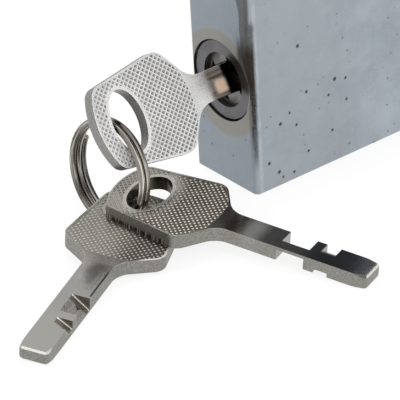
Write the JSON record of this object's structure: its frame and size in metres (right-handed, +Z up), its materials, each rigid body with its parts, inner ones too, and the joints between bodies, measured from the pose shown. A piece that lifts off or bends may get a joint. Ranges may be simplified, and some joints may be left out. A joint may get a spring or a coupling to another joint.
{
  "type": "container padlock",
  "caption": "Rectangular block padlock with a sliding bolt across its top gap, a disc lock cylinder in the narrow side, a key in it and more keys on a split ring.",
  "frame": {"origin": "middle of the block's base", "axes": "+Z up, away from the base; +X along the block, away from the lock cylinder; +Y to the back, away from the side that the keys lie on"},
  "size_m": [0.1804, 0.0736, 0.0741],
  "materials": {
    "body_plate": "satin grey-blue coating",
    "bolt_steel": "satin plated",
    "pin_steel": "ground",
    "spring_steel": "drawn wire",
    "screw_steel": "blackened",
    "case_steel": "turned",
    "plug_brass": "turned",
    "disc_brass": "stamped",
    "plate_steel": "stamped",
    "key_nickel": "nickel plated",
    "ring_nickel": "nickel plated"
  },
  "bodies": {
    "body": {"padlock_body": "body_plate", "stop_pin": "pin_steel", "bore_plug": "body_plate", "cylinder_case": "case_steel", "cylinder_screw": "screw_steel", "case_circlip": "spring_steel", "pin_spring": "spring_steel"},
    "bolt": {"bolt": "bolt_steel"},
    "plug": {"rotor": "plug_brass", "front_plate": "plate_steel", "drill_plate": "plate_steel", "sidebar": "pin_steel", "cam": "pin_steel", "cam_screw": "screw_steel", "disc_1": "disc_brass", "disc_2": "disc_brass", "disc_3": "disc_brass", "disc_4": "disc_brass", "disc_5": "disc_brass", "disc_6": "disc_brass", "disc_7": "disc_brass", "disc_8": "disc_brass", "disc_9": "disc_brass", "spacer_1": "plate_steel", "spacer_2": "plate_steel", "spacer_3": "plate_steel", "spacer_4": "plate_steel", "spacer_5": "plate_steel", "spacer_6": "plate_steel", "spacer_7": "plate_steel", "spacer_8": "plate_steel"},
    "locking_pin": {"locking_pin": "pin_steel"},
    "key_1": {"key_1": "key_nickel"},
    "split_ring": {"split_ring": "ring_nickel"},
    "key_2": {"key_2": "key_nickel"},
    "key_3": {"key_3": "key_nickel"}
  },
  "joints": [
    {"name": "bolt_slide", "type": "slide", "parent": "body", "child": "bolt", "axis": [1, 0, 0], "range_m": [0, 0.0475]},
    {"name": "plug_turn", "type": "hinge", "parent": "body", "child": "plug", "pos_m": [-0.03, 0, 0.026], "axis": [1, 0, 0], "range_deg": [-14, 32.86]},
    {"name": "locking_pin_slide", "type": "slide", "parent": "body", "child": "locking_pin", "axis": [0, 0, 1], "range_m": [-0.0008, 0.0019], "deforming": ["pin_spring"]},
    {"name": "key_1_draw", "type": "slide", "parent": "plug", "child": "key_1", "axis": [-1, 0, 0], "range_m": [0, 0.03]},
    {"name": "split_ring_hang", "type": "hinge", "parent": "key_1", "child": "split_ring", "pos_m": [-0.078, 0.0029, 0.017], "axis": [1, 0, 0], "range_deg": [-33.5, 14.5]},
    {"name": "key_2_swing", "type": "hinge", "parent": "split_ring", "child": "key_2", "pos_m": [-0.078, -0.0062, 0.0055], "axis": [0, 0, 1], "range_deg": [-4, 4]},
    {"name": "key_3_lift", "type": "hinge", "parent": "split_ring", "child": "key_3", "pos_m": [-0.07862, 0.00165, 0.0144], "axis": [0.9904, 0.0334, -0.134], "range_deg": [-25, 0]}
  ],
  "couplings": [
    {"joint": "locking_pin_slide", "follows": "plug_turn", "m_per_rad": 0.0032086},
    {"joint": "split_ring_hang", "follows": "plug_turn", "ratio": -1}
  ]
}
